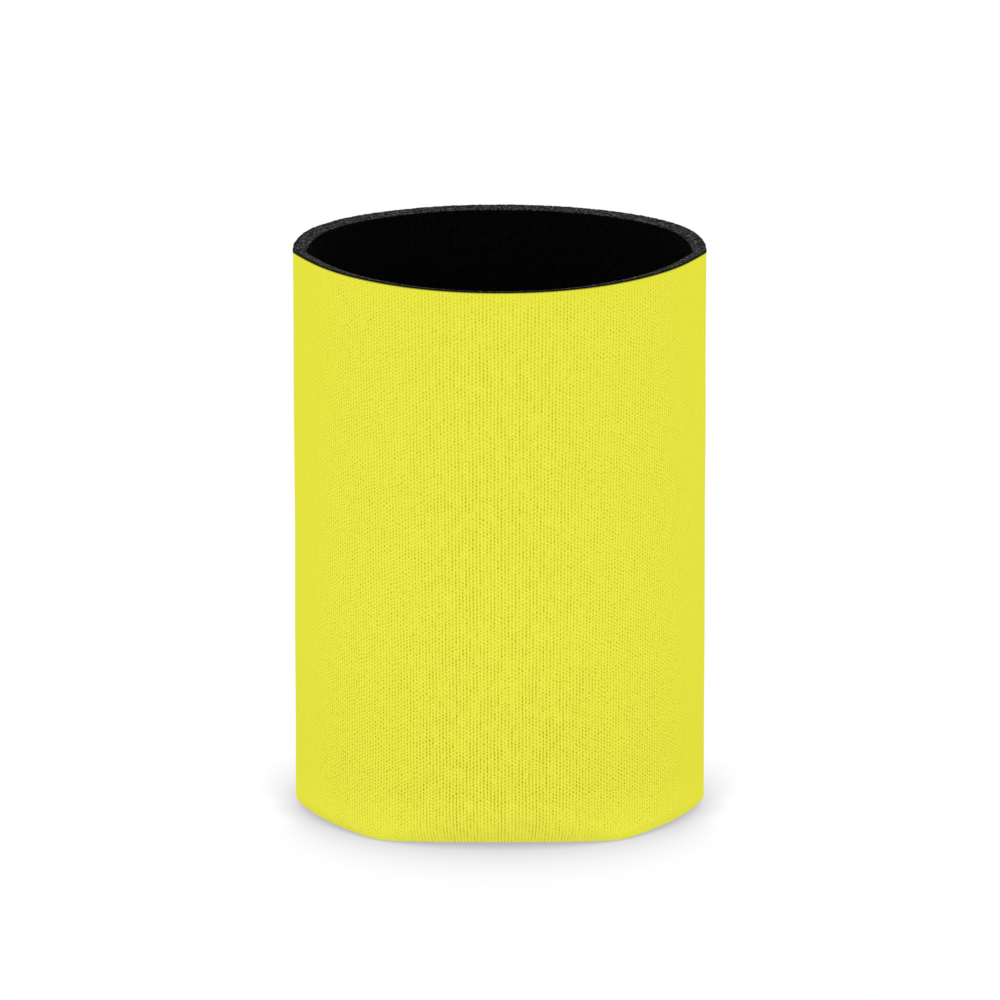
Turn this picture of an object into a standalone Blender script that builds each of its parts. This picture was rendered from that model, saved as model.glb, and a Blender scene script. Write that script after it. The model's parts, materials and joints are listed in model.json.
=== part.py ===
"""Foam can cooler sleeve: one blank of knit-faced foam, folded in two and sewn up both sides.

The blank is a strip with a notch in each long side. Its middle is the base, and its two ends
are the front and back walls. The notches and the side edges are butted together and closed by
a zigzag seam, which lies in a pressed channel so that the thread is flush with the wall.

Lengths are in metres, +Z is up, the front faces -Y and the seams are at +X and -X. The origin
is on the floor, in the middle of the base.
"""

import math

import bmesh
import bpy

# The laminated sheet, from the outside in
KNIT_THICKNESS = 0.0005
LAMINATE_GAP = 0.0003
FOAM_THICKNESS = 0.0018

# The standing sleeve
INNER_DIAMETER = 0.0670
SLEEVE_HEIGHT = 0.1015
FRONT_RIM_SAG = 0.0014
FOLD_LENGTH = 0.0420
FOLD_DEPTH = 0.0289
BASE_SIDE_RADIUS = 0.115
CORNER_SOFTNESS = 24.0
MIN_FOLD_RADIUS = 0.0014
MIN_INNER_RADIUS = 0.0004

# The two side seams
SEAM_GAP = 0.0004
SEAM_PEAK = 0.0005
SEAM_PEAK_SPREAD = math.radians(22)
SEAM_RIM_DIP = 0.0011
SEAM_RIM_DIP_SPREAD = math.radians(25)
NOTCH_TIP_X = 0.0220
CHANNEL_DEPTH = 0.0008
CHANNEL_FLOOR = 0.0020
CHANNEL_RAMP = 0.0010
CHANNEL_RUN_OUT = 0.0020
CHANNEL_RIM_FADE = 0.0030
CHANNEL_RIM_SHARE = 0.25

# The zigzag thread of a seam
THREAD_DIAMETER = 0.0004
THREAD_CLEARANCE = 0.0003
STITCH_REACH = 0.0015
STITCH_PITCH = 0.0015
THREAD_BEVEL_RESOLUTION = 1

# How finely the sheet is divided
COLUMN_STEP = math.radians(5)
WALL_ROWS = 3
FOLD_ROWS = 6
BASE_NARROWING = 0.0045
MERGE_DISTANCE = 1e-7
SMOOTH_ANGLE = math.radians(35)

# Worked out from the sizes above
SHEET_THICKNESS = KNIT_THICKNESS + LAMINATE_GAP + FOAM_THICKNESS
BODY_RADIUS = INNER_DIAMETER / 2 + SHEET_THICKNESS
QUARTER_TURN = math.pi / 2
HALF_GAP = SEAM_GAP / 2


def clear_scene():
    """Remove every object that the opening file holds."""
    for item in list(bpy.data.objects):
        bpy.data.objects.remove(item, do_unlink=True)


def make_material(name, colour, roughness):
    """A non-metallic surface of one colour."""
    material = bpy.data.materials.new(name)
    material.use_nodes = True
    shader = material.node_tree.nodes["Principled BSDF"]
    shader.inputs["Base Color"].default_value = (*colour, 1.0)
    shader.inputs["Roughness"].default_value = roughness
    shader.inputs["Metallic"].default_value = 0.0
    return material


def smooth_step(value):
    """0 below 0, 1 above 1, and a smooth rise between."""
    value = min(max(value, 0.0), 1.0)
    return value * value * (3.0 - 2.0 * value)


def seam_nearness(angle, spread):
    """1 at a seam, falling to 0 at a spread away from it. Angles run from the middle of a wall."""
    return max(0.0, 1.0 - (QUARTER_TURN - abs(angle)) / spread) ** 2


def body_reach(angle):
    """Distance from the axis to the outside of the wall: round, with a slight peak at each seam."""
    return BODY_RADIUS + SEAM_PEAK * seam_nearness(angle, SEAM_PEAK_SPREAD)


def rim_height(angle, sag):
    """Height of the cut rim, drawn down a little by the seams and by the sag of a wall's middle."""
    dip = SEAM_RIM_DIP * seam_nearness(angle, SEAM_RIM_DIP_SPREAD)
    return SLEEVE_HEIGHT - dip - sag * math.cos(angle) ** 2


def fold_line_reach(angle):
    """Distance from the axis to the straight fold between wall and base."""
    return FOLD_DEPTH / math.cos(angle) if abs(angle) < math.radians(85) else math.inf


def side_arc_reach(angle):
    """Distance from the axis to the arc that joins the end of the fold to the foot of a seam."""
    foot_x = BODY_RADIUS - MIN_FOLD_RADIUS
    corner_x = FOLD_LENGTH / 2
    run_x, run_y = corner_x - foot_x, FOLD_DEPTH
    chord = math.hypot(run_x, run_y)
    to_centre = math.sqrt(BASE_SIDE_RADIUS**2 - (chord / 2) ** 2)
    centre_x = (foot_x + corner_x) / 2 - to_centre * run_y / chord
    centre_y = FOLD_DEPTH / 2 + to_centre * run_x / chord
    along_x, along_y = math.sin(abs(angle)), math.cos(angle)
    along = centre_x * along_x + centre_y * along_y
    off = centre_x**2 + centre_y**2 - BASE_SIDE_RADIUS**2
    return along + math.sqrt(along**2 - off)


def base_reach(angle):
    """Distance from the axis to the edge of the flat base, with the fold's ends rounded off."""
    share = fold_line_reach(angle) ** -CORNER_SOFTNESS + side_arc_reach(angle) ** -CORNER_SOFTNESS
    reach = share ** (-1.0 / CORNER_SOFTNESS)
    return min(reach, body_reach(angle) - MIN_FOLD_RADIUS)


def fold_radius(angle, depth):
    """Radius of the bend from wall to base, at a depth into the sheet."""
    return max(body_reach(angle) - base_reach(angle) - depth, MIN_INNER_RADIUS)


def channel_depth(x, y):
    """How far the seam presses the outside of the sheet in, at a place in plan."""
    across = 1.0 - smooth_step((abs(y) - CHANNEL_FLOOR) / CHANNEL_RAMP)
    along = smooth_step((abs(x) - NOTCH_TIP_X) / CHANNEL_RUN_OUT)
    return CHANNEL_DEPTH * across * along


def plan_point(angle, reach):
    """A place in plan at an angle from the front, kept half a gap off the seam plane."""
    return reach * math.sin(angle), -max(reach * math.cos(angle), HALF_GAP)


def pressed(depth, x, y, pull=1.0):
    """Depth into the sheet once the seam has pressed it. The inside face stays where it is."""
    return depth + pull * channel_depth(x, y) * (1.0 - depth / SHEET_THICKNESS)


def wall_shares():
    """Heights of the wall's rows as shares of the wall, closer together where the channel fades."""
    fade = CHANNEL_RIM_FADE / SLEEVE_HEIGHT
    return [0.0, fade / 2] + [fade + (1.0 - fade) * row / WALL_ROWS for row in range(WALL_ROWS)]


def wall_point(angle, share, depth, sag):
    """A point on the upright wall, from the rim at share 0 to the start of the bend at share 1."""
    faded = smooth_step(share * SLEEVE_HEIGHT / CHANNEL_RIM_FADE)
    pull = CHANNEL_RIM_SHARE + (1.0 - CHANNEL_RIM_SHARE) * faded
    depth = pressed(depth, *plan_point(angle, body_reach(angle)), pull)
    top = rim_height(angle, sag)
    bottom = depth + fold_radius(angle, depth)
    x, y = plan_point(angle, body_reach(angle) - depth)
    return x, y, top + (bottom - top) * share


def fold_point(angle, share, depth):
    """A point on the bend between wall and base, from the wall at share 0 to the base at share 1."""
    depth = pressed(depth, *plan_point(angle, body_reach(angle)))
    radius = fold_radius(angle, depth)
    centre = body_reach(angle) - depth - radius
    turn = share * QUARTER_TURN
    x, y = plan_point(angle, centre + radius * math.cos(turn))
    return x, y, depth + radius * (1.0 - math.sin(turn))


def base_row_offsets():
    """Distances of the base's rows from the seam plane, outermost first."""
    return CHANNEL_FLOOR + CHANNEL_RAMP, CHANNEL_FLOOR + CHANNEL_RAMP / 2, CHANNEL_FLOOR, HALF_GAP


def base_point(angle, offset, depth):
    """A point on the flat base, on the line that runs back from the bend to the seam plane."""
    edge_x, edge_y, _ = fold_point(angle, 1.0, depth)
    room = -edge_y - HALF_GAP
    y = -(HALF_GAP + (offset - HALF_GAP) * min(1.0, room / BASE_NARROWING))
    if offset == HALF_GAP and abs(edge_x) < NOTCH_TIP_X:
        y = 0.0
    return edge_x, y, pressed(depth, edge_x, y)


def column_angles():
    """Angles of the sheet's columns from one seam to the other, closer together at the seams."""
    near_seam = [QUARTER_TURN - offset / BODY_RADIUS for offset in base_row_offsets()[::-1]]
    count = int(math.radians(80) / COLUMN_STEP)
    middle = [COLUMN_STEP * step for step in range(-count, count + 1)]
    return [-angle for angle in near_seam] + middle + near_seam[::-1]


def panel_rows(depth, sag):
    """Rows of points from a rim to the seam plane, over one wall and its half of the base."""
    angles = column_angles()
    rows = [[wall_point(a, share, depth, sag) for a in angles] for share in wall_shares()]
    rows += [[fold_point(a, row / FOLD_ROWS, depth) for a in angles] for row in range(FOLD_ROWS + 1)]
    rows += [[base_point(a, offset, depth) for a in angles] for offset in base_row_offsets()]
    return rows


def add_panel(mesh, rows):
    """Faces between the neighbouring points of neighbouring rows."""
    grid = [[mesh.verts.new(point) for point in row] for row in rows]
    for upper, lower in zip(grid, grid[1:]):
        for column in range(len(upper) - 1):
            beside = column + 1
            mesh.faces.new((upper[column], lower[column], lower[beside], upper[beside]))


def add_side(mesh, depth):
    """One side of a layer, front and back: the panels meet along the base, between the notches."""
    front = panel_rows(depth, FRONT_RIM_SAG)
    back = [[(x, -y, z) for x, y, z in row] for row in panel_rows(depth, 0.0)]
    add_panel(mesh, front)
    add_panel(mesh, back)


def sheet_solid(name, outer_depth, inner_depth, material):
    """One layer of the blank, closed along its cut edges between two depths into the sheet."""
    mesh = bmesh.new()
    add_side(mesh, outer_depth)
    add_side(mesh, inner_depth)
    bmesh.ops.remove_doubles(mesh, verts=mesh.verts, dist=MERGE_DISTANCE)
    bmesh.ops.dissolve_degenerate(mesh, edges=mesh.edges, dist=MERGE_DISTANCE)
    cut_edges = [edge for edge in mesh.edges if edge.is_boundary]
    bmesh.ops.bridge_loops(mesh, edges=cut_edges)
    bmesh.ops.recalc_face_normals(mesh, faces=mesh.faces)
    data = bpy.data.meshes.new(name)
    mesh.to_mesh(data)
    mesh.free()
    data.materials.append(material)
    data.shade_smooth()
    data.set_sharp_from_angle(angle=SMOOTH_ANGLE)
    solid = bpy.data.objects.new(name, data)
    bpy.context.scene.collection.objects.link(solid)
    return solid


def seam_path(side):
    """Points of the zigzag: down the wall seam, round its foot and in along the base."""
    floor_depth = CHANNEL_DEPTH
    bend = fold_radius(QUARTER_TURN, floor_depth)
    centre_x = body_reach(QUARTER_TURN) - floor_depth - bend
    centre_z = floor_depth + bend
    swing = bend + THREAD_CLEARANCE + THREAD_DIAMETER / 2
    wall_run = rim_height(QUARTER_TURN, 0.0) - CHANNEL_RIM_FADE - centre_z
    bend_run = swing * QUARTER_TURN
    base_run = centre_x - NOTCH_TIP_X - CHANNEL_RUN_OUT
    count = int((wall_run + bend_run + base_run) / STITCH_PITCH)
    points = []
    for stitch in range(count + 1):
        run = stitch * STITCH_PITCH
        if run < wall_run:
            x, z = centre_x + swing, centre_z + wall_run - run
        elif run < wall_run + bend_run:
            turn = (run - wall_run) / swing
            x, z = centre_x + swing * math.cos(turn), centre_z - swing * math.sin(turn)
        else:
            x, z = centre_x - (run - wall_run - bend_run), centre_z - swing
        points.append((side * x, STITCH_REACH * (-1) ** stitch, z))
    return points


def seam_thread(name, side, material):
    """The thread that closes one seam, as one tube with filled ends."""
    points = seam_path(side)
    curve = bpy.data.curves.new(name, "CURVE")
    curve.dimensions = "3D"
    curve.bevel_depth = THREAD_DIAMETER / 2
    curve.bevel_resolution = THREAD_BEVEL_RESOLUTION
    curve.use_fill_caps = True
    spline = curve.splines.new("POLY")
    spline.points.add(len(points) - 1)
    for knot, point in zip(spline.points, points):
        knot.co = (*point, 1.0)
    curve.materials.append(material)
    thread = bpy.data.objects.new(name, curve)
    bpy.context.scene.collection.objects.link(thread)
    return thread


def build_sleeve():
    """Both layers of the blank and the thread of each seam."""
    yellow_knit = make_material("yellow_knit", (0.78, 0.765, 0.053), 0.85)
    black_foam = make_material("black_foam", (0.028, 0.028, 0.029), 0.95)
    yellow_thread = make_material("yellow_thread", (0.74, 0.72, 0.05), 0.6)
    sheet_solid("knit_cover", 0.0, KNIT_THICKNESS, yellow_knit)
    sheet_solid("foam_core", KNIT_THICKNESS + LAMINATE_GAP, SHEET_THICKNESS, black_foam)
    seam_thread("left_seam_thread", -1, yellow_thread)
    seam_thread("right_seam_thread", 1, yellow_thread)


clear_scene()
build_sleeve()
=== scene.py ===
"""Finished look of the foam can cooler sleeve: knit face, foam core and zigzag seams.

The sleeve is one blank of knit-faced foam, which runs down the front wall, along the base and up
the back wall. Each layer is cut flat here, as a grid in the cloth's own directions, and is then
stood up by the same rules as the solids of the frame. Lengths are in metres, +Z is up, the front
faces -Y and the seams are at +X and -X.
"""

from __future__ import annotations

import json
import logging
import math
from collections.abc import Callable, Iterator, Sequence
from contextlib import contextmanager
from dataclasses import dataclass, field
from enum import Enum
from functools import lru_cache

import bmesh
import bpy
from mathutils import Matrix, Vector, noise

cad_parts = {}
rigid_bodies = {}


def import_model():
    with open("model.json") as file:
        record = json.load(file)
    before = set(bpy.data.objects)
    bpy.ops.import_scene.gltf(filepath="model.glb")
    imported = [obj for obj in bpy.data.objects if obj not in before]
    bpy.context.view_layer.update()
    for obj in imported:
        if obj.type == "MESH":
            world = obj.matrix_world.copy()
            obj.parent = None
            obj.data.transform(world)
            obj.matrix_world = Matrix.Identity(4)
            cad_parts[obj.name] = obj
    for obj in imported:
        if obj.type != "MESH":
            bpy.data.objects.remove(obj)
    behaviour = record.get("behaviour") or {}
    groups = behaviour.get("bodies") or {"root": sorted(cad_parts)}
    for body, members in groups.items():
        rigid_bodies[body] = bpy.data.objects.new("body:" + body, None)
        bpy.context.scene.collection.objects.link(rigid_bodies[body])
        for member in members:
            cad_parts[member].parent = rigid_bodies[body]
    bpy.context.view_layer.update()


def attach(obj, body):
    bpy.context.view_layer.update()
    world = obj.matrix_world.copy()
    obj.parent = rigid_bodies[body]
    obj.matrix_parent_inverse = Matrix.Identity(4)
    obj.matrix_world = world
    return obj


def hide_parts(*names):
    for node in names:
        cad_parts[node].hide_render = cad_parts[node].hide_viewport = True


LOG = logging.getLogger("sleeve")
MM = 0.001
QUARTER_TURN = math.pi / 2
BEND_SURPLUS = 0.571  # A quarter turn of cloth is this many radii longer than its radius
PHOTO_SIDE = 1000
BODY = "root"
CLOTH_ATTRIBUTE = "cloth"
CUT_ATTRIBUTE = "cut"
RIM_ATTRIBUTE = "below_rim"

Point = tuple[float, float, float]

WHITE: Point = (1.0, 1.0, 1.0)
BLACK: Point = (0.0, 0.0, 0.0)


class Wall(Enum):
    """The two walls of the sleeve. The value is the side of the seam plane that it stands on."""

    FRONT = -1
    BACK = 1


class Seam(Enum):
    """The two side seams. The value is the sign of X there."""

    LEFT = -1
    RIGHT = 1


def smooth_step(value: float) -> float:
    """Return 0 below 0, 1 above 1, and a smooth rise between."""
    value = min(max(value, 0.0), 1.0)
    return value * value * (3.0 - 2.0 * value)


def bell(distance: float, spread: float) -> float:
    """Return 1 at no distance, falling to nothing within a few spreads."""
    return math.exp(-0.5 * (distance / spread) ** 2)


# Modelling by hand


def deselect_all() -> None:
    for item in bpy.context.view_layer.objects:
        item.select_set(False)
    bpy.context.view_layer.objects.active = None


def make_active(piece: bpy.types.Object) -> None:
    """Select one piece alone and make it the active one."""
    deselect_all()
    piece.select_set(True)
    bpy.context.view_layer.objects.active = piece


@contextmanager
def editing(piece: bpy.types.Object) -> Iterator[None]:
    """Hold one piece in edit mode, with all of it selected at the start.

    Args:
        piece: The mesh piece to edit.

    Yields:
        Nothing. Object mode comes back at the end.
    """
    make_active(piece)
    bpy.ops.object.mode_set(mode="EDIT")
    bpy.ops.mesh.select_mode(type="EDGE")
    bpy.ops.mesh.select_all(action="SELECT")
    try:
        yield
    finally:
        bpy.ops.object.mode_set(mode="OBJECT")


def select_edges(piece: bpy.types.Object, wanted: Callable[[bmesh.types.BMEdge], bool]) -> int:
    """Select the edges that pass a test, and nothing else, in edit mode.

    Args:
        piece: The piece in edit mode.
        wanted: The test of one edge.

    Returns:
        How many edges were selected.
    """
    mesh = bmesh.from_edit_mesh(piece.data)
    bpy.ops.mesh.select_all(action="DESELECT")
    chosen = [edge for edge in mesh.edges if wanted(edge)]
    for edge in chosen:
        edge.select_set(True)
    bmesh.update_edit_mesh(piece.data)
    return len(chosen)


def join(pieces: Sequence[bpy.types.Object], name: str) -> bpy.types.Object:
    """Join pieces into the first one.

    Args:
        pieces: The pieces, at least two.
        name: The joined piece's name.

    Returns:
        The joined piece.
    """
    make_active(pieces[0])
    for piece in pieces:
        piece.select_set(True)
    bpy.ops.object.join()
    joined = bpy.context.view_layer.objects.active
    joined.name = name
    joined.data.name = name
    return joined


def shade(piece: bpy.types.Object, angle: float) -> None:
    """Shade a piece smooth, with edges sharper than an angle kept crisp."""
    make_active(piece)
    bpy.ops.object.shade_smooth_by_angle(angle=angle)


def apply_modifiers(piece: bpy.types.Object) -> None:
    """Apply every modifier of a piece, from the first to the last."""
    make_active(piece)
    for name in [modifier.name for modifier in piece.modifiers]:
        bpy.ops.object.modifier_apply(modifier=name)


def set_points(piece: bpy.types.Object, points: Sequence[Point]) -> None:
    """Move every vertex of a piece to its new place."""
    piece.data.vertices.foreach_set("co", [value for point in points for value in point])
    piece.data.update()


# Shader expressions


class Graph:
    """The node tree of one material or world, with a short call for each kind of node."""

    def __init__(self, name: str, tree: bpy.types.NodeTree | None = None) -> None:
        """Clear a node tree, or start a new material.

        Args:
            name: The new material's name.
            tree: A node tree to use in place of a new material.
        """
        self.material = None
        if tree is None:
            self.material = bpy.data.materials.new(name)
            self.material.use_nodes = True
            tree = self.material.node_tree
        self.tree = tree
        self.tree.nodes.clear()

    def node(self, kind: str, settings: dict | None = None, **inputs: object) -> bpy.types.Node:
        """Add a node.

        Args:
            kind: The node's type, without the ShaderNode that it starts with.
            settings: Its settings, which are set before its sockets.
            inputs: Values or signals for its sockets, by identifier, with _ for a space.

        Returns:
            The node.
        """
        node = self.tree.nodes.new("ShaderNode" + kind)
        for key, value in (settings or {}).items():
            setattr(node, key, value)
        for key, value in inputs.items():
            self._feed(self._socket(node, key), value)
        return node

    def signal(self, kind: str, output: str, settings: dict | None = None, **inputs: object) -> Signal:
        """Add a node and return the signal of one of its outputs."""
        return Signal(self, self.node(kind, settings, **inputs).outputs[output])

    def noise(self, place: Signal, scale: float, detail: float) -> Signal:
        """Add a soft noise over a place, from 0 to 1 about a middle of 0.5."""
        return self.signal("TexNoise", "Fac", None, Vector=place, Scale=scale, Detail=detail)

    def attribute(self, name: str, output: str) -> Signal:
        """Read an attribute of the mesh, as a Vector or as one number under Fac."""
        return self.signal("Attribute", output, {"attribute_name": name})

    def parted(self, place: Signal) -> list[Signal]:
        """Return the X, Y and Z of a place."""
        node = self.node("SeparateXYZ", None, Vector=place)
        return [Signal(self, socket) for socket in node.outputs]

    def mix(self, factor: object, first: object, second: object) -> Signal:
        """Blend two colours, from the first at factor 0 to the second at factor 1."""
        node = self.tree.nodes.new("ShaderNodeMix")
        node.data_type = "RGBA"
        self._feed(node.inputs["Factor"], factor)
        self._feed(next(s for s in node.inputs if s.identifier == "A_Color"), first)
        self._feed(next(s for s in node.inputs if s.identifier == "B_Color"), second)
        return Signal(self, next(s for s in node.outputs if s.identifier == "Result_Color"))

    def finish(
        self,
        colour: Signal,
        roughness: Signal,
        specular: float,
        height: Signal,
        relief: float,
        strength: float,
    ) -> bpy.types.Material:
        """Add the surface shader with its bump, and wire it to the material's output.

        Args:
            colour: The base colour.
            roughness: The roughness.
            specular: The level of the mirror reflection, the same all over.
            height: The bump's height, from about 0 to 1.
            relief: What a height of 1 stands for.
            strength: The bump's strength.

        Returns:
            The material.
        """
        bump = self.signal("Bump", "Normal", None, Height=height, Distance=relief, Strength=strength)
        shader = self.node("BsdfPrincipled", None, Base_Color=colour, Roughness=roughness, Normal=bump)
        shader.inputs["Specular IOR Level"].default_value = specular
        self.node("OutputMaterial", None, Surface=shader.outputs["BSDF"])
        return self.material

    def seen_or_lit(
        self, seen: bpy.types.Node, lit: bpy.types.Node, output: str
    ) -> bpy.types.NodeSocket:
        """Show one shader to the camera, and let the other one light the room.

        Args:
            seen: The shader that the camera, a mirror or a glass sees.
            lit: The shader that bounced light meets.
            output: The name of the output of both.

        Returns:
            The blended shader's socket.
        """
        path = self.node("LightPath", None)
        kinds = ("Camera", "Glossy", "Transmission")
        rays = [Signal(self, path.outputs[f"Is {kind} Ray"]) for kind in kinds]
        factor = (rays[0] + rays[1] + rays[2]).clamped()
        shaders = {"Shader": lit.outputs[output], "Shader_001": seen.outputs[output]}
        return self.node("MixShader", None, Fac=factor, **shaders).outputs["Shader"]

    @staticmethod
    def _socket(node: bpy.types.Node, key: str) -> bpy.types.NodeSocket:
        """Find an input by its identifier or name."""
        for socket in node.inputs:
            if key in (socket.identifier, socket.name, socket.name.replace(" ", "_")):
                return socket
        raise KeyError(f"{node.bl_idname} has no input {key}")

    def _feed(self, socket: bpy.types.NodeSocket, value: object) -> None:
        """Link a signal or a socket to an input, or set the input's own value."""
        if isinstance(value, Signal):
            self.tree.links.new(value.socket, socket)
        elif isinstance(value, bpy.types.NodeSocket):
            self.tree.links.new(value, socket)
        elif socket.type == "RGBA" and len(value) == 3:
            socket.default_value = (*value, 1.0)
        else:
            socket.default_value = value


@dataclass
class Signal:
    """A socket's value in an expression. Each operator adds one Math node."""

    graph: Graph
    socket: bpy.types.NodeSocket

    def _math(self, operation: str, *values: object, clamp: bool = False) -> Signal:
        """Add a Math node over these values."""
        node = self.graph.tree.nodes.new("ShaderNodeMath")
        node.operation = operation
        node.use_clamp = clamp
        for socket, value in zip(node.inputs, values):
            self.graph._feed(socket, value)
        return Signal(self.graph, node.outputs[0])

    def __add__(self, other: object) -> Signal:
        """Return self + other."""
        return self._math("ADD", self, other)

    def __radd__(self, other: object) -> Signal:
        """Return other + self."""
        return self._math("ADD", other, self)

    def __sub__(self, other: object) -> Signal:
        """Return self - other."""
        return self._math("SUBTRACT", self, other)

    def __rsub__(self, other: object) -> Signal:
        """Return other - self."""
        return self._math("SUBTRACT", other, self)

    def __mul__(self, other: object) -> Signal:
        """Return self * other."""
        return self._math("MULTIPLY", self, other)

    def __truediv__(self, other: object) -> Signal:
        """Return self / other."""
        return self._math("DIVIDE", self, other)

    def __pow__(self, other: object) -> Signal:
        """Return self to the power of other."""
        return self._math("POWER", self, other)

    def floor(self) -> Signal:
        """Return the whole number at or below self."""
        return self._math("FLOOR", self)

    def size(self) -> Signal:
        """Return self without its sign."""
        return self._math("ABSOLUTE", self)

    def cosine(self) -> Signal:
        """Return the cosine of self, in radians."""
        return self._math("COSINE", self)

    def clamped(self) -> Signal:
        """Return self kept between 0 and 1."""
        return self._math("ADD", self, 0.0, clamp=True)

    def wave(self) -> Signal:
        """Return 1 where self is whole and 0 halfway between, as a cosine."""
        return (self * (2.0 * math.pi)).cosine() * 0.5 + 0.5

    def rise(self, low: float, high: float) -> Signal:
        """Return 0 below low, 1 above high and a straight ramp between."""
        return ((self - low) / (high - low)).clamped()


# Finishes


@dataclass(frozen=True)
class KnitFinish:
    """Fine polyester jersey: upright wales, with staggered small pits in the gaps between them.

    Pairs are places where something starts and ends, in millimetres of cloth: from the middle of
    the base up the wall, sideways from the middle of the wall, or down from the rim. The pattern's
    strength falls up and down the wall, to the seams and at the rim. The wales run closer at the
    foot than higher up, and their lines fade away from the middle of the wall.
    """

    ridge: Point = (0.99, 0.970, 0.122)
    ground: Point = (0.802, 0.784, 0.045)
    pit: Point = (0.352, 0.337, 0.001)
    # Painted shade: the near-black olive that the knit's top edge darkens to under the rim.
    rim_shade: Point = (0.030, 0.028, 0.003)
    wale_pitch: float = 0.610 * MM
    course_pitch: float = 0.665 * MM
    relief: float = 0.05 * MM
    relief_strength: float = 0.5
    roughness: float = 0.92
    specular: float = 0.02

    # Depth below the rim, in mm, over which the painted shade of the knit's top edge fades out.
    rim_shade_edge: tuple[float, float] = (0.0, 0.26)
    rim_zone: tuple[float, float] = (0.8, 3.5)
    fold_zone: tuple[float, float] = (36.0, 46.0)
    # Where the painted shade low on the wall fades out, in mm up from the middle of the base.
    foot_shade_zone: tuple[float, float] = (45.0, 75.0)
    wall_zone: tuple[float, float] = (45.0, 140.0)
    spread_zone: tuple[float, float] = (68.0, 133.0)
    middle_zone: tuple[float, float] = (9.0, 20.0)
    side_zone: tuple[float, float] = (31.0, 43.0)

    contrast: float = 1.22
    wall_fade: float = 0.34
    side_fade: float = 0.65
    rim_fade: float = 0.4
    line_fade: float = 0.65
    fold_fade: float = 0.75
    # How strongly painted shade darkens the lower wall towards the pit colour.
    foot_shade: float = 0.05
    wale_spread: float = 0.055
    wale_drift: float = 0.5
    course_shift: float = 0.22
    course_slip: float = 2.0
    valley_power: float = 2.6
    dot_power: float = 1.5
    streak: float = 0.34
    fold_line: float = 0.05

    def material(self) -> bpy.types.Material:
        """Return the knit's material, which follows the cloth attribute of the mesh."""
        graph = Graph("yellow_knit")
        cloth = graph.attribute(CLOTH_ATTRIBUTE, "Vector")
        width, run, _ = graph.parted(cloth)
        up, off = run.size(), width.size()
        below = graph.attribute(RIM_ATTRIBUTE, "Fac")
        fold = 1.0 - up.rise(*self.fold_zone)
        middle = 1.0 - off.rise(*self.middle_zone) * self.line_fade
        contrast = (
            (self.contrast - up.rise(*self.wall_zone) * self.wall_fade)
            * (1.0 - off.rise(*self.side_zone) * self.side_fade)
            * (below.rise(*self.rim_zone) * self.rim_fade + (1.0 - self.rim_fade))
        )

        # The knit's two directions, counted in wales and courses
        opened = 1.0 - up.rise(*self.spread_zone) * self.wale_spread
        drift = (graph.noise(cloth, 0.12, 1.0) - 0.5) * self.wale_drift
        across = width * (MM / self.wale_pitch) * opened + drift
        gap = across.floor()
        by_gap = graph.signal("TexWhiteNoise", "Value", {"noise_dimensions": "1D"}, W=gap + 0.37)
        stagger = gap * 0.5 - (gap * 0.5).floor()
        slip = (graph.noise(cloth, 0.25, 1.0) - 0.5) * self.course_slip
        course = run * (MM / self.course_pitch) + stagger + by_gap * self.course_shift + slip
        cell = graph.signal("CombineXYZ", "Vector", None, X=gap, Y=(course + 0.5).floor(), Z=0.5)
        by_cell = graph.signal("TexWhiteNoise", "Value", {"noise_dimensions": "3D"}, Vector=cell)
        thread = graph.signal("CombineXYZ", "Vector", None, X=gap * 0.71, Y=run * 0.45, Z=0.5)
        fibre = graph.noise(cloth, 4.5, 2.0) - 0.5

        # Ridges, the lines between them and the pits in those
        ridge = across.wave()
        valley = (1.0 - ridge) ** self.valley_power
        dot = course.wave() ** self.dot_power * (1.0 - fold * self.fold_fade)
        streak = graph.noise(thread, 1.0, 1.0).rise(0.32, 0.68) * self.streak
        line = valley * (streak + fold * self.fold_line) * middle
        pit = valley * dot * (0.42 + by_cell * by_cell * 0.52 - middle * 0.12)
        lift = ((ridge * middle * 0.15 + (1.0 - dot) * 0.14 + fibre * 4.6) * contrast).clamped()
        # Painted shade: the lower wall darkens a little towards the pit colour, fading out again over
        # the bend.
        tone = (1.0 - up.rise(*self.foot_shade_zone)) * (1.0 - fold) * self.foot_shade
        colour = graph.mix(lift, self.ground, self.ridge)
        colour = graph.mix(((line + pit) * contrast + tone).clamped(), colour, self.pit)
        # Painted shade: the knit darkens to near black at its top edge under the rim.
        colour = graph.mix(below.rise(*self.rim_shade_edge), self.rim_shade, colour)

        height = ridge * 0.7 - valley * dot * (0.4 + by_cell * 0.6) + fibre * 0.5
        rough = self.roughness - lift * 0.1
        return graph.finish(colour, rough, self.specular, height, self.relief, self.relief_strength)


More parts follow.
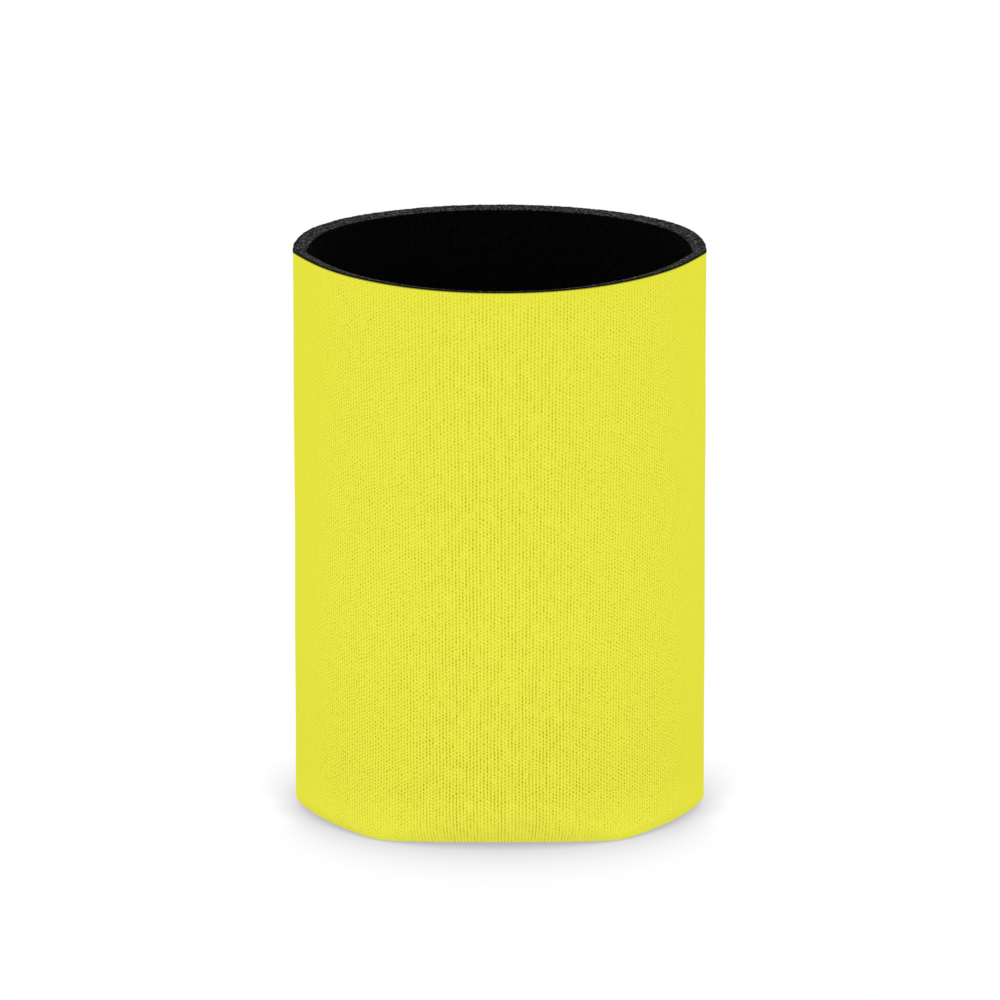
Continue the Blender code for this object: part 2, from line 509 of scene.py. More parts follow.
@dataclass(frozen=True)
class FoamFinish:
    """Black open-cell foam: speckled where it is cut, and near black on its skin, which painted shade
    of the sleeve's inside darkens further.
    """

    pit: Point = (0.003, 0.003, 0.0031)
    ground: Point = (0.022, 0.022, 0.0225)
    fleck: Point = (0.20, 0.20, 0.202)
    # The skin is darker than the cut foam, and painted shade of the inside darkens it further still.
    shaded_skin: Point = (0.0010, 0.0010, 0.00105)
    shaded_skin_fleck: Point = (0.0050, 0.0050, 0.0051)
    cell: float = 0.27 * MM
    relief: float = 0.10 * MM
    relief_strength: float = 0.9
    roughness: float = 0.97
    specular: float = 0.02

    def material(self) -> bpy.types.Material:
        """Return the foam's material, which is lighter where the mesh is marked as cut."""
        graph = Graph("black_foam")
        place = graph.signal("TexCoord", "Object")
        cut = graph.attribute(CUT_ATTRIBUTE, "Fac")
        edges = {"feature": "DISTANCE_TO_EDGE"}
        cells = graph.signal("TexVoronoi", "Distance", edges, Vector=place, Scale=1.0 / self.cell)
        grain = graph.noise(place, 1.0 / self.cell, 3.0)
        patch = graph.noise(place, 0.35 / self.cell, 2.0)
        web = 1.0 - cells.rise(0.03, 0.22)
        tone = grain.rise(0.38, 0.58)
        fleck = web * grain.rise(0.46, 0.62) * patch.rise(0.38, 0.56)
        cut_colour = graph.mix(fleck.clamped(), graph.mix(tone, self.pit, self.ground), self.fleck)
        # The skin's own dark colour, darkened further with painted shade.
        shaded_skin_colour = graph.mix(tone * patch.rise(0.3, 0.7), self.shaded_skin, self.shaded_skin_fleck)
        colour = graph.mix(cut, shaded_skin_colour, cut_colour)
        height = grain * 0.7 + web * 0.6
        rough = self.roughness - fleck * 0.25
        return graph.finish(colour, rough, self.specular, height, self.relief, self.relief_strength)


@dataclass(frozen=True)
class ThreadFinish:
    """Spun polyester thread in the knit's yellow."""

    colour: Point = (0.92, 0.90, 0.085)
    shadow: Point = (0.70, 0.67, 0.035)
    fibre: float = 0.07 * MM
    relief: float = 0.02 * MM
    relief_strength: float = 0.6
    roughness: float = 0.5
    specular: float = 0.4

    def material(self) -> bpy.types.Material:
        """Return the thread's material, which reads the piece's own coordinates."""
        graph = Graph("yellow_thread")
        place = graph.signal("TexCoord", "Object")
        fibre = graph.noise(place, 1.0 / self.fibre, 2.0)
        colour = graph.mix(fibre.rise(0.35, 0.75), self.shadow, self.colour)
        rough = self.roughness + fibre * 0.2
        return graph.finish(colour, rough, self.specular, fibre, self.relief, self.relief_strength)


@dataclass(frozen=True)
class FloorFinish:
    """White lit paper, pure white to the camera apart from a soft grey contact shadow.

    The shadow reaches little at the sides and farther in front and behind.
    """

    glow: float = 0.86
    side_reach: float = 5.4 * MM
    front_reach: float = 33.7 * MM
    back_reach: float = 15.0 * MM
    front_zone: tuple[float, float] = (14.0 * MM, 74.0 * MM)
    back_zone: tuple[float, float] = (0.0, 28.0 * MM)
    shadow_depth: float = 0.54

    def material(self) -> bpy.types.Material:
        """Return the floor's material."""
        graph = Graph("white_paper")
        _, back, _ = graph.parted(graph.signal("TexCoord", "Object"))
        forward = (0.0 - back).rise(*self.front_zone)
        backward = back.rise(*self.back_zone)
        reach = forward * (self.front_reach - self.side_reach) + self.side_reach
        reach = reach + backward * (self.back_reach - self.side_reach)
        open_sky = graph.signal("AmbientOcclusion", "AO", {"samples": 16}, Distance=reach)
        shade = (1.0 - open_sky) * self.shadow_depth
        seen = graph.node("Emission", None, Color=graph.mix(shade, WHITE, BLACK))
        lit = graph.node("Emission", None, Strength=self.glow)
        graph.node("OutputMaterial", None, Surface=graph.seen_or_lit(seen, lit, "Emission"))
        return graph.material


# The standing shape


@dataclass(frozen=True)
class Ply:
    """One ply of the laminate: its two depths into the sheet, and how its rim and face are worked.

    The rim slope is how much lower the cut lies at the ply's inner face than at its outer face.
    """

    outer_depth: float
    inner_depth: float
    rim_drop: float = 0.0
    rim_slope: float = 0.0
    lip_depth: float = 0.0
    lip_height: float = 0.0
    puckered: bool = False

    def outer_share(self, depth: float) -> float:
        """Return 1 at the ply's outer face and 0 at its inner face."""
        return 1.0 - (depth - self.outer_depth) / (self.inner_depth - self.outer_depth)

    def cut_drop(self, depth: float) -> float:
        """Return how far the cut rim lies under the wall's own rim, at a depth into the sheet."""
        inward = 1.0 - min(max(self.outer_share(depth), 0.0), 1.0)
        return self.rim_drop + self.rim_slope * inward

    def with_lip(self, depth: float, down: float) -> float:
        """Return the depth of a face, with the cut edge swollen out over the ply outside it."""
        swollen = depth == self.outer_depth and down < self.lip_height
        return self.lip_depth if swollen else depth


@dataclass(frozen=True)
class SleeveForm:
    """The rules that take a place on the flat blank to its place on the standing sleeve.

    The sheet is 0.08 mm thicker than the solids are, because the knit's nap stands proud.
    """

    inner_diameter: float = 67.0 * MM
    sheet_thickness: float = 2.68 * MM
    height: float = 101.5 * MM
    front_rim_sag: float = 1.4 * MM
    fold_length: float = 42.0 * MM
    fold_depth: float = 28.9 * MM
    base_side_radius: float = 98.0 * MM
    corner_softness: float = 30.0
    min_fold_radius: float = 1.1 * MM
    min_inner_radius: float = 0.4 * MM
    fold_pull: float = 0.93
    fold_spread: tuple[float, float] = (math.radians(30), math.radians(65))
    seam_gap: float = 0.04 * MM
    seam_peak: float = 0.5 * MM
    seam_peak_spread: float = math.radians(22)
    seam_rim_dip: float = 1.1 * MM
    seam_rim_dip_spread: float = math.radians(25)
    notch_tip_x: float = 22.0 * MM
    channel_depth: float = 0.75 * MM
    channel_floor: float = 1.5 * MM
    channel_ramp: float = 1.7 * MM
    channel_run_out: float = 2.0 * MM
    channel_rim_fade: float = 3.0 * MM
    channel_rim_share: float = 0.25
    roll_depth: float = 0.35 * MM
    roll_width: float = 0.55 * MM
    pucker_depth: float = 0.16 * MM
    pucker_spread: float = 0.38 * MM
    stitch_reach: float = 1.5 * MM
    stitch_pitch: float = 1.5 * MM
    base_narrowing: float = 4.5 * MM
    steady_rows: float = 3.0 * MM
    waver: float = 0.10 * MM
    rim_waver: float = 0.03 * MM
    lean: float = 0.12 * MM

    @property
    def body_radius(self) -> float:
        """Radius of the outside of the wall, away from the seams."""
        return self.inner_diameter / 2 + self.sheet_thickness

    @property
    def half_girth(self) -> float:
        """Half the blank's width, from its middle to a seam."""
        return self.body_radius * QUARTER_TURN

    @property
    def bend_run(self) -> float:
        """Length of cloth in the bend from wall to base, at the middle of the blank."""
        return (self.body_radius - self.fold_depth) * QUARTER_TURN

    @property
    def wall_run(self) -> float:
        """Length of cloth in the upright wall, at the middle of the blank."""
        return self.height - (self.body_radius - self.fold_depth)

    @property
    def seam_top(self) -> float:
        """Height of a seam's first stitch."""
        return self.height - self.seam_rim_dip - self.channel_rim_fade

    @property
    def run(self) -> float:
        """Length of cloth from a rim to the middle of the base."""
        return self.wall_run + self.bend_run + self.fold_depth

    def _nearness(self, angle: float, spread: float) -> float:
        """Return 1 at a seam, falling to 0 at a spread away from it."""
        return max(0.0, 1.0 - (QUARTER_TURN - abs(angle)) / spread) ** 2

    def body_reach(self, angle: float) -> float:
        """Return the distance from the axis to the outside of the wall."""
        return self.body_radius + self.seam_peak * self._nearness(angle, self.seam_peak_spread)

    def rim_height(self, angle: float, wall: Wall) -> float:
        """Return the height of the cut rim, with the small waver of a cut edge."""
        sag = self.front_rim_sag if wall is Wall.FRONT else 0.0
        dip = self.seam_rim_dip * self._nearness(angle, self.seam_rim_dip_spread)
        fade = 1.0 - self._nearness(angle, self.seam_rim_dip_spread)
        spot = Vector((math.sin(angle) * 4.0, wall.value * math.cos(angle) * 4.0, 3.7))
        cut = self.rim_waver * noise.noise(spot) * fade
        return self.height - dip - sag * math.cos(angle) ** 2 + cut - self.rim_waver

    def base_reach(self, angle: float) -> float:
        """Return the distance from the axis to the edge of the flat base."""
        foot_x = self.body_radius - self.min_fold_radius
        corner_x = self.fold_length / 2
        run_x, run_y = corner_x - foot_x, self.fold_depth
        chord = math.hypot(run_x, run_y)
        to_centre = math.sqrt(self.base_side_radius**2 - (chord / 2) ** 2)
        centre_x = (foot_x + corner_x) / 2 - to_centre * run_y / chord
        centre_y = self.fold_depth / 2 + to_centre * run_x / chord
        along = centre_x * math.sin(abs(angle)) + centre_y * math.cos(angle)
        off = centre_x**2 + centre_y**2 - self.base_side_radius**2
        arc = along + math.sqrt(along**2 - off)
        share = arc**-self.corner_softness
        if abs(angle) < math.radians(85):
            share += (self.fold_depth / math.cos(angle)) ** -self.corner_softness
        reach = share ** (-1.0 / self.corner_softness)
        return min(reach, self.body_reach(angle) - self.min_fold_radius)

    def base_turn(self, angle: float) -> float:
        """Return the angle at which the cloth of a wall's column reaches the base.

        The cloth runs nearly straight down over the fold, and turns in only towards the seams.

        Args:
            angle: The column's angle on the wall.

        Returns:
            The angle round the base.
        """
        over_fold = self.fold_pull * self.body_radius / self.fold_depth * math.sin(abs(angle))
        start, end = self.fold_spread
        share = smooth_step((abs(angle) - start) / (end - start))
        return math.copysign((1 - share) * math.atan(over_fold) + share * abs(angle), angle)

    @lru_cache(maxsize=None)
    def bend(self, angle: float) -> Point:
        """Return how the bend leaves the wall.

        Args:
            angle: The column's angle on the wall.

        Returns:
            The outer radius of the bend, and the x and y of its outward direction in plan.
        """
        turned = self.base_turn(angle)
        reach, base = self.body_reach(angle), self.base_reach(turned)
        run_x = reach * math.sin(angle) - base * math.sin(turned)
        run_y = reach * math.cos(angle) - base * math.cos(turned)
        radius = math.hypot(run_x, run_y)
        return radius, run_x / radius, run_y / radius

    def bend_radius(self, angle: float, depth: float) -> float:
        """Return the radius of the bend from wall to base, at a depth into the sheet."""
        return max(self.bend(angle)[0] - depth, self.min_inner_radius)

    def press(self, x: float, y: float) -> float:
        """Return how far the seam presses the sheet in, at a place in plan."""
        across = 1.0 - smooth_step((abs(y) - self.channel_floor) / self.channel_ramp)
        along = smooth_step((abs(x) - self.notch_tip_x) / self.channel_run_out)
        roll = max(0.0, 1.0 - abs(y) / self.roll_width) ** 2
        return along * (self.channel_depth * across + self.roll_depth * roll)

    def _pressed(self, depth: float, x: float, y: float, share: float = 1.0) -> float:
        """Return the depth of a face where a share of the seam's press squeezes the sheet."""
        return depth + (1.0 - depth / self.sheet_thickness) * self.press(x, y) * share

    def pucker(self, y: float, along: float) -> float:
        """Return how far the nearest needle hole pulls the knit in.

        Args:
            y: Distance from the seam plane, with its sign.
            along: Distance down the seam from its first stitch.

        Returns:
            The depth of the dimple there.
        """
        if abs(y) > 4 * self.pucker_spread + self.stitch_reach or along < -2 * self.pucker_spread:
            return 0.0
        period = 2 * self.stitch_pitch
        phase = (along - (0.0 if y > 0 else self.stitch_pitch)) / period
        off = abs(phase - round(phase)) * period
        return self.pucker_depth * bell(math.hypot(off, abs(y) - self.stitch_reach), self.pucker_spread)

    def _in_plan(self, angle: float, reach: float, wall: Wall) -> tuple[float, float]:
        """Return x and y at an angle, kept half a gap off the seam plane."""
        y = max(reach * math.cos(angle), self.seam_gap / 2)
        return reach * math.sin(angle), wall.value * y

    def _unevenness(self, angle: float, z: float, wall: Wall) -> float:
        """Return the slight waver of a soft wall, which fades out at the floor."""
        spot = Vector((math.sin(angle), wall.value * math.cos(angle), z * 28.0)) * 1.7
        return self.waver * (noise.noise(spot) + 0.4) * smooth_step((z - 0.004) / 0.015)

    def stand(self, across: float, down: float, depth: float, wall: Wall, ply: Ply) -> Point:
        """Take a place on the flat blank to its place on the standing sleeve.

        Args:
            across: Distance across the blank from its middle.
            down: Distance down the blank from the rim.
            depth: Depth into the sheet from its outer face.
            wall: The wall whose half of the blank this is.
            ply: The ply that is stood up.

        Returns:
            The place in space.
        """
        angle = across / self.body_radius
        if down <= self.wall_run:
            return self._on_wall(angle, down, depth, wall, ply)
        x, y = self._in_plan(angle, self.body_reach(angle), wall)
        deep = self._pressed(depth, x, y)
        radius = self.bend_radius(angle, deep)
        turn = min((down - self.wall_run) / self.bend_run, 1.0) * QUARTER_TURN
        in_run = radius * (1.0 - math.cos(turn))
        reach = self.body_reach(angle) - deep
        x = reach * math.sin(angle) - self.bend(angle)[1] * in_run
        y = max(reach * math.cos(angle) - self.bend(angle)[2] * in_run, self.seam_gap / 2)
        if down <= self.wall_run + self.bend_run:
            return x, wall.value * y, deep + radius * (1.0 - math.sin(turn))
        return self._on_base(x, y, self.run - down, depth, wall)

    def _on_wall(self, angle: float, down: float, depth: float, wall: Wall, ply: Ply) -> Point:
        """Return a place on the upright wall, from the rim to the start of the bend."""
        x, y = self._in_plan(angle, self.body_reach(angle), wall)
        outer_share = ply.outer_share(depth) if ply.puckered else 0.0
        top = self.rim_height(angle, wall) - ply.cut_drop(depth)
        depth = ply.with_lip(depth, down)
        share = down / self.wall_run
        fade = smooth_step(down / self.channel_rim_fade)
        deep = self._pressed(
            depth, x, y, self.channel_rim_share + (1.0 - self.channel_rim_share) * fade
        )
        if outer_share > 0:
            z = top - share * (top - self.min_fold_radius)
            deep += self.pucker(y, self.seam_top - z) * outer_share
        bottom = deep + self.bend_radius(angle, deep)
        z = top + (bottom - top) * share
        deep += self._unevenness(angle, z, wall) - self.lean * z / self.height
        x, y = self._in_plan(angle, self.body_reach(angle) - deep, wall)
        return x, y, z

    def _on_base(self, x: float, room: float, offset: float, depth: float, wall: Wall) -> Point:
        """Return a place on the flat base.

        Args:
            x: Where the base's row of cloth lies.
            room: Distance from the bend's end to the seam plane there.
            offset: Distance from the seam plane that the row has at the middle of the blank.
            depth: Depth into the sheet.
            wall: The wall whose half of the base this is.

        Returns:
            The place in space.
        """
        half_gap = self.seam_gap / 2
        steady = self.steady_rows * min(1.0, room / self.base_narrowing)
        if offset <= self.steady_rows:
            y = steady * offset / self.steady_rows
        else:
            past = (room - steady) * (offset - self.steady_rows)
            y = steady + past / (self.fold_depth - self.steady_rows)
        joined = abs(x) < self.notch_tip_x
        y = 0.0 if joined and offset < half_gap else max(y, half_gap)
        return x, wall.value * y, self._pressed(depth, x, y)

    def seam_place(self, seam: Seam, along: float, y: float, depth: float) -> Point:
        """Take a place in a seam to its place in space.

        Args:
            seam: Which seam.
            along: Distance down the seam from its first stitch.
            y: Distance from the seam plane, with its sign.
            depth: Depth under the wall's outer face.

        Returns:
            The place in space.
        """
        angle = QUARTER_TURN - abs(y) / self.body_radius
        foot = self.min_fold_radius
        wall_run = self.seam_top - foot
        swing = max(foot - depth, 0.0)
        centre_x = self.body_reach(QUARTER_TURN) - foot
        outer_x = self.body_reach(angle) * math.sin(angle)
        if along < wall_run:
            x, z = outer_x - depth, self.seam_top - along
        elif along < wall_run + foot * QUARTER_TURN:
            turn = (along - wall_run) / foot
            x, z = centre_x + swing * math.cos(turn), foot - swing * math.sin(turn)
        else:
            x, z = centre_x - (along - wall_run - foot * QUARTER_TURN), depth
        return seam.value * x, y, z

    @property
    def seam_length(self) -> float:
        """Length of a seam, from its first stitch to the tip of the notch in the base."""
        wall_run = self.seam_top - self.min_fold_radius
        base_run = self.body_radius - self.min_fold_radius - self.notch_tip_x - self.channel_run_out
        return wall_run + self.min_fold_radius * QUARTER_TURN + base_run


# Sub-assemblies


def clothe(piece: bpy.types.Object, material: bpy.types.Material, replaces: str) -> None:
    """Give a piece its material, attach it to the body and hide the frame's node that it stands for."""
    piece.data.materials.clear()
    piece.data.materials.append(material)
    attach(piece, BODY)
    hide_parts(replaces)


@dataclass
class BlankLayer:
    """One layer of the blank, closed between two depths into the sheet."""

    form: SleeveForm
    name: str
    replaces: str
    slot: str
    ply: Ply
    columns: int
    rows: int
    seam_columns: tuple[float, ...]
    rim_rows: tuple[float, ...]
    bend_rows: int
    base_rows: tuple[float, ...]
    held: str = "folded"
    cut_share: float = 0.87
    crisp_angle: float = math.radians(50)
    piece: bpy.types.Object = field(init=False, default=None)

    def build(self) -> bpy.types.Object:
        """Cut, stand up and close the layer.

        Returns:
            The closed piece, at the origin.
        """
        panels = [
            self._panel(wall, depth)
            for depth in (self.ply.outer_depth, self.ply.inner_depth)
            for wall in (Wall.FRONT, Wall.BACK)
        ]
        self.piece = join(panels, self.name)
        with editing(self.piece):
            bpy.ops.mesh.remove_doubles(threshold=1e-7)
            select_edges(self.piece, lambda edge: edge.is_boundary)
            bpy.ops.mesh.bridge_edge_loops()
            bpy.ops.mesh.select_all(action="SELECT")
            bpy.ops.mesh.normals_make_consistent(inside=False)
        self.refine()
        shade(self.piece, self.crisp_angle)
        LOG.info("%s: %d faces", self.name, len(self.piece.data.polygons))
        return self.piece

    def refine(self) -> None:
        """Work on the closed layer. A plain layer needs nothing more."""

    def dress(self, material: bpy.types.Material) -> None:
        """Give the layer its material, attach it and hide the frame's node that it stands for."""
        clothe(self.piece, material, self.replaces)
        flat = (2 * self.form.half_girth, 2 * self.form.run)
        self.cut_area()

    def cut_area(self) -> float:
        """Return the area of the blank once its notches are cut."""
        return 2 * self.form.half_girth * 2 * self.form.run * self.cut_share

    def _panel(self, wall: Wall, depth: float) -> bpy.types.Object:
        """Cut one half of the blank flat and stand it up.

        Args:
            wall: The wall whose half this is.
            depth: Depth into the sheet of this side of the layer.

        Returns:
            The panel, with the cloth's own coordinates kept as an attribute.
        """
        form = self.form
        deselect_all()
        bpy.ops.mesh.primitive_grid_add(
            x_subdivisions=self.columns, y_subdivisions=self.rows, size=1.0, location=(0, 0, 0)
        )
        panel = bpy.context.view_layer.objects.active
        with editing(panel):
            bpy.ops.transform.translate(value=(0.0, -0.5, 0.0))
            size = (2 * form.half_girth, form.run, 1.0)
            bpy.ops.transform.resize(value=size, center_override=(0, 0, 0))
            for offset in self.seam_columns:
                for side in (-1, 1):
                    self._slice((side * (form.half_girth - offset), 0, 0), (1, 0, 0))
            for offset in self.rim_rows:
                self._slice((0, -offset, 0), (0, 1, 0))
            for row in range(self.bend_rows + 1):
                down = form.wall_run + form.bend_run * row / max(self.bend_rows, 1)
                self._slice((0, -down, 0), (0, 1, 0))
            for offset in self.base_rows:
                self._slice((0, offset - form.run, 0), (0, 1, 0))
        flat = [(vertex.co.x, -vertex.co.y) for vertex in panel.data.vertices]
        points = [form.stand(x, max(y, 0.0), depth, wall, self.ply) for x, y in flat]
        set_points(panel, points)
        self._keep_cloth(panel, flat, points, wall)
        return panel

    @staticmethod
    def _slice(place: Point, normal: Point) -> None:
        """Cut the selected flat panel with a plane, to add a row of edges."""
        bpy.ops.mesh.select_all(action="SELECT")
        bpy.ops.mesh.bisect(plane_co=place, plane_no=normal)

    def _keep_cloth(
        self,
        panel: bpy.types.Object,
        flat: Sequence[tuple[float, float]],
        points: Sequence[Point],
        wall: Wall,
    ) -> None:
        """Store each vertex's place on the cloth, and how far below the rim it is, in millimetres.

        The place is measured from the middle of the base.

        Args:
            panel: The standing panel.
            flat: Each vertex's place on the flat panel.
            points: Each vertex's place in space.
            wall: The wall whose half this is.
        """
        form = self.form
        below = panel.data.attributes.new(RIM_ATTRIBUTE, "FLOAT", "POINT")
        below.data.foreach_set("value", [down / MM for _, down in flat])
        values: list[float] = []
        for (across, down), (_, _, z) in zip(flat, points):
            radius = form.bend_radius(across / form.body_radius, 0.0)
            end = form.run - form.wall_run - form.bend_run * (1 - 1 / QUARTER_TURN)
            end -= BEND_SURPLUS * radius
            if down <= form.wall_run:
                run = end + BEND_SURPLUS * radius + z
            elif down <= form.wall_run + form.bend_run:
                left = 1.0 - (down - form.wall_run) / form.bend_run
                run = end + radius * QUARTER_TURN * left
            else:
                run = end * (form.run - down) / form.fold_depth
            values += [across / MM, wall.value * run / MM, 0.0]
        cloth = panel.data.attributes.new(CLOTH_ATTRIBUTE, "FLOAT_VECTOR", "POINT")
        cloth.data.foreach_set("vector", values)


@dataclass
class FoamLayer(BlankLayer):
    """The foam core, whose cut rim is divided and pitted like open cells."""

    ring_cuts: int = 8
    cell_size: float = 0.5 * MM
    cell_depth: float = 0.16 * MM
    ring_margin: float = 0.9 * MM
    edge_wear: float = 0.30 * MM
    edge_round: float = 0.07 * MM
    cut_margin: float = 0.14 * MM
    pressed_gap: float = 0.001 * MM
    rim_band: float = 1.2 * MM
    cell_middle: float = 0.6

    def refine(self) -> None:
        """Divide the rim across, press the seams together, round the rim's edges and pit it."""
        low = self.form.height - self.form.front_rim_sag - self.form.seam_rim_dip - self.rim_band
        step = (self.ply.inner_depth - self.ply.outer_depth) * 0.6

        def crosses_rim(edge: bmesh.types.BMEdge) -> bool:
            """Tell whether an edge runs across the cut rim."""
            first, last = (vertex.co for vertex in edge.verts)
            if min(first.z, last.z) < low:
                return False
            return abs(first.xy.length - last.xy.length) > step and abs(first.z - last.z) < MM

        with editing(self.piece):
            LOG.info("%s: %d edges cross the rim", self.name, select_edges(self.piece, crosses_rim))
            bpy.ops.mesh.subdivide(number_cuts=self.ring_cuts)
        self._press_seams()
        self._mark_cut()
        self._pit_rim()

    def _press_seams(self) -> None:
        """Press the two halves together along the seams, so that no light comes through."""
        reach = self.form.seam_gap * 0.51
        for vertex in self.piece.data.vertices:
            if 0.0 < abs(vertex.co.y) < reach:
                vertex.co.y = math.copysign(self.pressed_gap / 2, vertex.co.y)

    def _mark_cut(self) -> None:
        """Mark the cut face of the rim, fading at its two edges, and round those edges."""
        group = self.piece.vertex_groups.new(name="rim")
        form = self.form
        cuts = []
        for vertex in self.piece.data.vertices:
            x, y, z = vertex.co
            wall = Wall.FRONT if y < 0 else Wall.BACK
            angle = math.atan2(x, abs(y))
            depth = form.body_reach(angle) - math.hypot(x, y)
            under = form.rim_height(angle, wall) - self.ply.cut_drop(depth) - z
            weight = 1.0 - smooth_step(under / self.ring_margin)
            if weight > 0:
                group.add([vertex.index], weight, "REPLACE")
            inside = min(depth - self.ply.lip_depth, self.ply.inner_depth - depth)
            on_cut = under < self.cut_margin
            cut = smooth_step(inside / self.edge_wear) if on_cut else 0.0
            cuts.append(cut)
            if on_cut:
                vertex.co.z -= (1.0 - cut) * self.edge_round
        marks = self.piece.data.attributes.new(CUT_ATTRIBUTE, "FLOAT", "POINT")
        marks.data.foreach_set("value", cuts)

    def _pit_rim(self) -> None:
        """Push the rim's vertices in and out with a cell texture."""
        texture = bpy.data.textures.new("open_cells", "VORONOI")
        texture.noise_scale = self.cell_size
        texture.noise_intensity = 1.0
        modifier = self.piece.modifiers.new("pits", "DISPLACE")
        modifier.texture = texture
        modifier.texture_coords = "LOCAL"
        modifier.direction = "NORMAL"
        modifier.mid_level = self.cell_middle
        modifier.strength = self.cell_depth
        modifier.vertex_group = "rim"
        apply_modifiers(self.piece)


@dataclass
class SeamStitches:
    """The zigzag thread of one seam, made of two-ply stitches that dive into the knit."""

    form: SleeveForm
    seam: Seam
    name: str
    replaces: str
    slot: str = "yellow_thread"
    ply_radius: float = 0.115 * MM
    ply_offset: float = 0.095 * MM
    twists: float = 2.0
    sides: int = 6
    segments: int = 10
    crest_depth: float = 0.60 * MM
    dive_depth: float = 1.20 * MM
    arch_steepness: float = 1.9
    crisp_angle: float = math.radians(60)
    piece: bpy.types.Object = field(init=False, default=None)

    def build(self) -> bpy.types.Object:
        """Model one stitch, copy it down the seam and join the copies.

        Returns:
            The thread of the whole seam.
        """
        pattern = self._pattern()
        count = int(self.form.seam_length / self.form.stitch_pitch)
        stitches = [self._copy(pattern, index) for index in range(count)]
        bpy.data.objects.remove(pattern, do_unlink=True)
        self.piece = join(stitches, self.name)
        shade(self.piece, self.crisp_angle)
        LOG.info("%s: %d stitches, %d faces", self.name, count, len(self.piece.data.polygons))
        return self.piece

    def dress(self, material: bpy.types.Material) -> None:
        """Give the thread its material, attach it and hide the frame's node that it stands for."""
        clothe(self.piece, material, self.replaces)

    def _pattern(self) -> bpy.types.Object:
        """Model one straight two-ply stitch of length 1 along Z, twisted on itself."""
        plies = []
        for side in (-1, 1):
            deselect_all()
            bpy.ops.mesh.primitive_cylinder_add(
                vertices=self.sides,
                radius=self.ply_radius,
                depth=1.0,
                location=(0, side * self.ply_offset, 0),
            )
            plies.append(bpy.context.view_layer.objects.active)
        pattern = join(plies, "stitch_pattern")
        bpy.ops.object.transform_apply(location=True, rotation=True, scale=True)
        with editing(pattern):
            select_edges(pattern, lambda edge: abs(edge.verts[0].co.z - edge.verts[1].co.z) > 0.5)
            bpy.ops.mesh.subdivide(number_cuts=self.segments - 1)
        twist = pattern.modifiers.new("twist", "SIMPLE_DEFORM")
        twist.deform_method = "TWIST"
        twist.deform_axis = "Z"
        twist.angle = self.twists * 2 * math.pi
        apply_modifiers(pattern)
        return pattern

    def _copy(self, pattern: bpy.types.Object, index: int) -> bpy.types.Object:
        """Copy the stitch to its place in the seam.

        Args:
            pattern: The straight stitch, along Z from -0.5 to 0.5.
            index: Its number from the rim.

        Returns:
            The placed copy.
        """
        copy = bpy.data.objects.new(f"stitch_{index}", pattern.data.copy())
        bpy.context.scene.collection.objects.link(copy)
        form = self.form
        side = 1 if index % 2 == 0 else -1
        run = form.stitch_pitch
        reach = form.stitch_reach
        length = math.hypot(run, 2 * reach)
        points = []
        for vertex in pattern.data.vertices:
            share = vertex.co.z + 0.5
            off, up = vertex.co.x, vertex.co.y
            along = index * run + run * share + off * 2 * reach / length
            y = side * (reach - 2 * reach * share) + side * off * run / length
            arch = min(1.0, math.sin(math.pi * min(max(share, 0.0), 1.0)) * self.arch_steepness)
            depth = self.dive_depth + (self.crest_depth - self.dive_depth) * arch
            points.append(form.seam_place(self.seam, along, y, depth - up))
        set_points(copy, points)
        return copy


# The studio


@dataclass(frozen=True)
class Lamp:
    """A large square lamp that faces the sleeve."""

    name: str
    place: Point
    size: float
    power: float


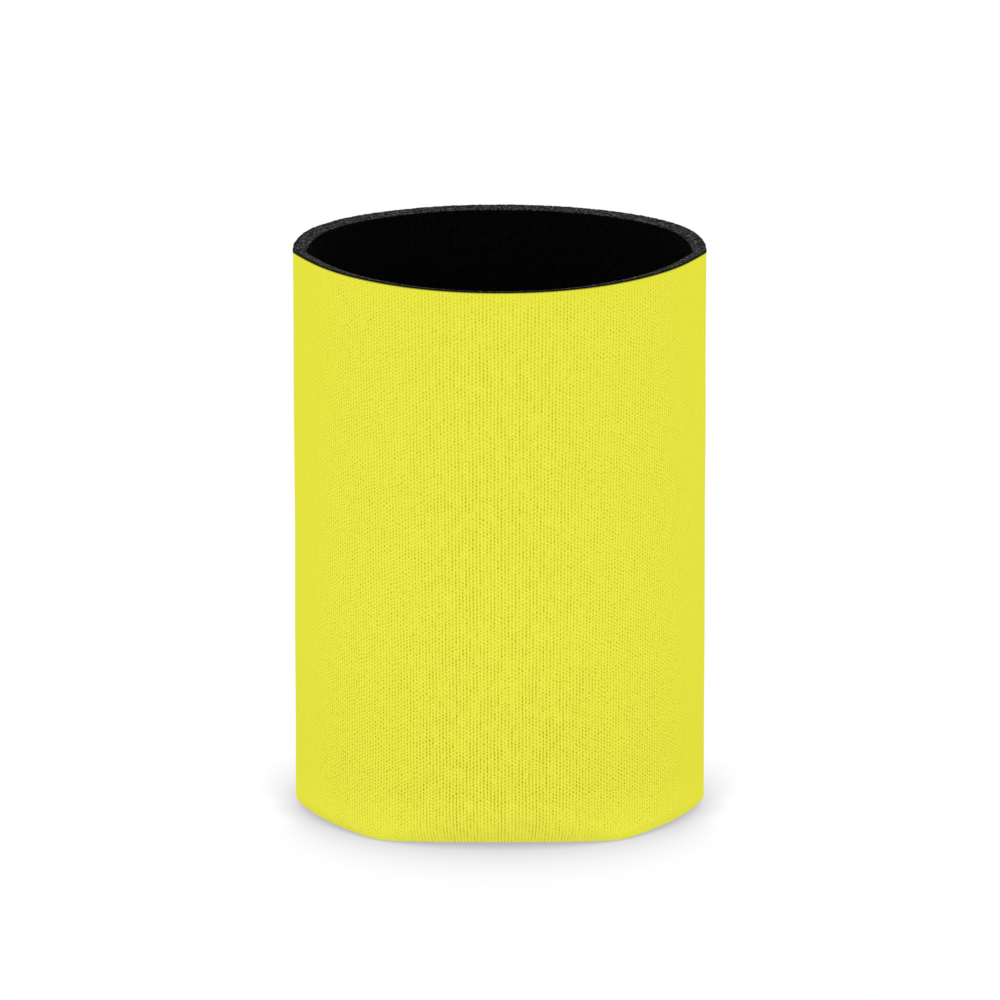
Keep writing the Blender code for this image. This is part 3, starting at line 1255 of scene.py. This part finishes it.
@dataclass
class Studio:
    """A white floor, plain soft light and the camera of the photograph."""

    camera_distance: float = 1.900
    camera_elevation: float = math.radians(12.69)
    focal_pixels: float = 10702.0
    centre_pixel: tuple[float, float] = (499.8, 527.55)
    aim_height: float = 0.05
    floor_side: float = 40.0
    world_strength: float = 1.09
    lamps: tuple[Lamp, ...] = (
        Lamp("front_light", (-0.9, -2.6, 1.9), 1.8, 3.95),
        Lamp("top_light", (0.4, 0.3, 2.4), 1.6, 1.45),
    )

    def build(self) -> None:
        """Make the floor, the light and the camera."""
        self._floor()
        self._world()
        for lamp in self.lamps:
            self._hang(lamp)
        self._camera()
        bpy.context.scene.view_settings.view_transform = "Standard"

    def _floor(self) -> None:
        """Lay the floor that the sleeve stands on."""
        deselect_all()
        bpy.ops.mesh.primitive_plane_add(size=self.floor_side, location=(0, 0, 0))
        floor = bpy.context.view_layer.objects.active
        floor.name = "floor"
        floor.data.materials.append(FloorFinish().material())

    def _world(self) -> None:
        """Light everything evenly with white."""
        world = bpy.data.worlds.new("white_room")
        world.use_nodes = True
        graph = Graph("white_room", world.node_tree)
        lit = graph.node("Background", None, Color=WHITE, Strength=self.world_strength)
        seen = graph.node("Background", None, Color=WHITE, Strength=1.0)
        graph.node("OutputWorld", None, Surface=graph.seen_or_lit(seen, lit, "Background"))
        bpy.context.scene.world = world

    def _hang(self, lamp: Lamp) -> None:
        """Hang a lamp and turn it to the sleeve."""
        data = bpy.data.lights.new(lamp.name, "AREA")
        data.shape = "SQUARE"
        data.size = lamp.size
        data.energy = lamp.power
        holder = bpy.data.objects.new(lamp.name, data)
        holder.location = lamp.place
        beam = Vector((0.0, 0.0, self.aim_height)) - Vector(lamp.place)
        holder.rotation_euler = beam.to_track_quat("-Z", "Y").to_euler()
        bpy.context.scene.collection.objects.link(holder)

    def _camera(self) -> None:
        """Set the camera at the photograph's angle and frame."""
        data = bpy.data.cameras.new("camera")
        data.sensor_width = 36.0
        data.lens = self.focal_pixels / PHOTO_SIDE * data.sensor_width
        data.shift_x = (PHOTO_SIDE / 2 - self.centre_pixel[0]) / PHOTO_SIDE
        data.shift_y = (self.centre_pixel[1] - PHOTO_SIDE / 2) / PHOTO_SIDE
        data.clip_start = 0.01
        data.clip_end = 100.0
        camera = bpy.data.objects.new("camera", data)
        back = self.camera_distance * math.cos(self.camera_elevation)
        up = self.camera_distance * math.sin(self.camera_elevation)
        camera.location = (0.0, -back, self.aim_height + up)
        camera.rotation_euler = (QUARTER_TURN - self.camera_elevation, 0.0, 0.0)
        bpy.context.scene.collection.objects.link(camera)
        bpy.context.scene.camera = camera


def make_layers(form: SleeveForm) -> tuple[BlankLayer, FoamLayer]:
    """Describe the two layers of the blank.

    Args:
        form: The standing shape that both follow.

    Returns:
        The knit layer and the foam layer.
    """
    base_rows = tuple(offset * MM for offset in (0.25, 0.5, 0.8, 1.2, 1.6, 2.0, 2.5, 3.0))
    seam_offsets = (0.08, 0.18, 0.32, 0.5, 0.75, 1.05, 1.4, 1.75, 2.1, 2.6, 3.2)
    knit = BlankLayer(
        form=form,
        name="knit_face",
        replaces="knit_cover",
        slot="yellow_knit",
        ply=Ply(outer_depth=0.0, inner_depth=0.28 * MM, rim_drop=0.26 * MM, puckered=True),
        columns=90,
        rows=170,
        seam_columns=tuple(offset * MM for offset in seam_offsets),
        rim_rows=(0.13 * MM, 0.26 * MM, 0.5 * MM),
        bend_rows=0,
        base_rows=base_rows,
    )
    foam = FoamLayer(
        form=form,
        name="foam_sheet",
        replaces="foam_core",
        slot="black_foam",
        ply=Ply(
            outer_depth=0.36 * MM,
            inner_depth=form.sheet_thickness,
            rim_slope=0.52 * MM,
            lip_depth=0.03 * MM,
            lip_height=0.24 * MM,
        ),
        columns=340,
        rows=20,
        seam_columns=(0.12 * MM,),
        rim_rows=(0.12 * MM, 0.23 * MM, 0.25 * MM, 0.40 * MM, 0.8 * MM, 1.5 * MM, 3.0 * MM),
        bend_rows=9,
        base_rows=base_rows,
    )
    return knit, foam


def main() -> None:
    """Load the frame, build each piece around it and dress it."""
    logging.basicConfig(level=logging.INFO, format="%(name)s: %(message)s")
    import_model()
    form = SleeveForm()
    knit, foam = make_layers(form)
    knit.build()
    knit.dress(KnitFinish().material())
    foam.build()
    foam.dress(FoamFinish().material())
    thread = ThreadFinish().material()
    for seam, name in ((Seam.LEFT, "left_seam"), (Seam.RIGHT, "right_seam")):
        stitches = SeamStitches(form, seam, f"{name}_stitches", f"{name}_thread")
        stitches.build()
        stitches.dress(thread)
    Studio().build()


if __name__ == "__main__":
    main()
